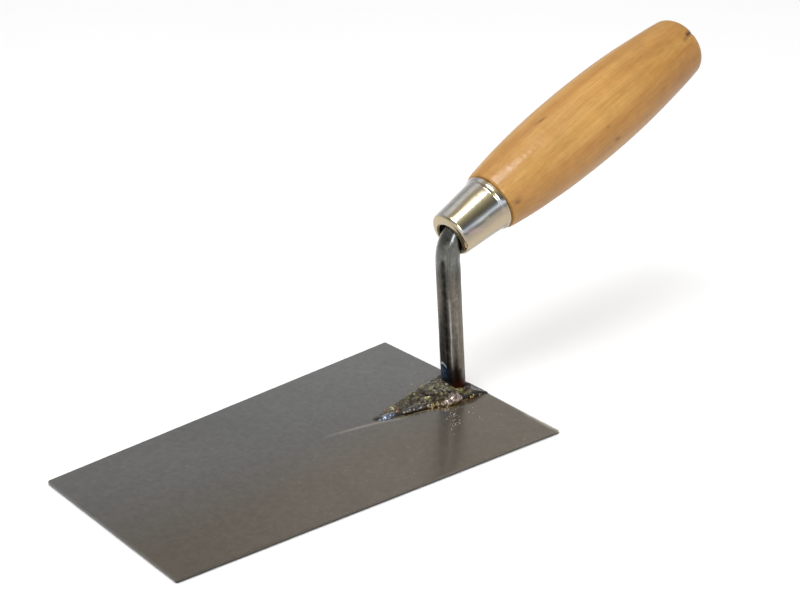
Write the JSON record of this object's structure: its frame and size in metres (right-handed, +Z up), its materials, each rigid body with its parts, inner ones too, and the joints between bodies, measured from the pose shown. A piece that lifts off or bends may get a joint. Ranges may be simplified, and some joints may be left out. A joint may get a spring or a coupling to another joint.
{
  "type": "bucket trowel",
  "caption": "Square-toed bucket trowel with a flat tapering steel blade, a bent round shank welded to it on a triangular foot, a pressed ferrule and a turned wooden handle.",
  "frame": {"origin": "middle of the blade's flat underside, on the centreline, half way between the heel and toe edges", "axes": "+X along the tool from toe to heel and on towards the handle's butt, +Z up out of the blade's upper face, +Y across the blade"},
  "size_m": [0.3118, 0.1118, 0.1415],
  "materials": {
    "blade_steel": "satin, lightly mottled, clear lacquered",
    "foot_scale": "rough scaled steel under yellowed lacquer",
    "weld_metal": "lumpy weld bead, straw and bronze tinted",
    "shank_steel": "dark drawn bar, glossy, blued near the weld",
    "ferrule_plate": "bright zinc plate with a pale yellow passivation",
    "handle_wood": "turned hardwood, satin clear lacquer"
  },
  "bodies": {
    "root": {"blade": "blade_steel", "foot_plate": "foot_scale", "foot_weld_near": "weld_metal", "foot_weld_far": "weld_metal", "foot_weld_tip": "weld_metal", "shank_weld": "weld_metal", "shank": "shank_steel", "ferrule": "ferrule_plate", "handle": "handle_wood"}
  },
  "joints": []
}
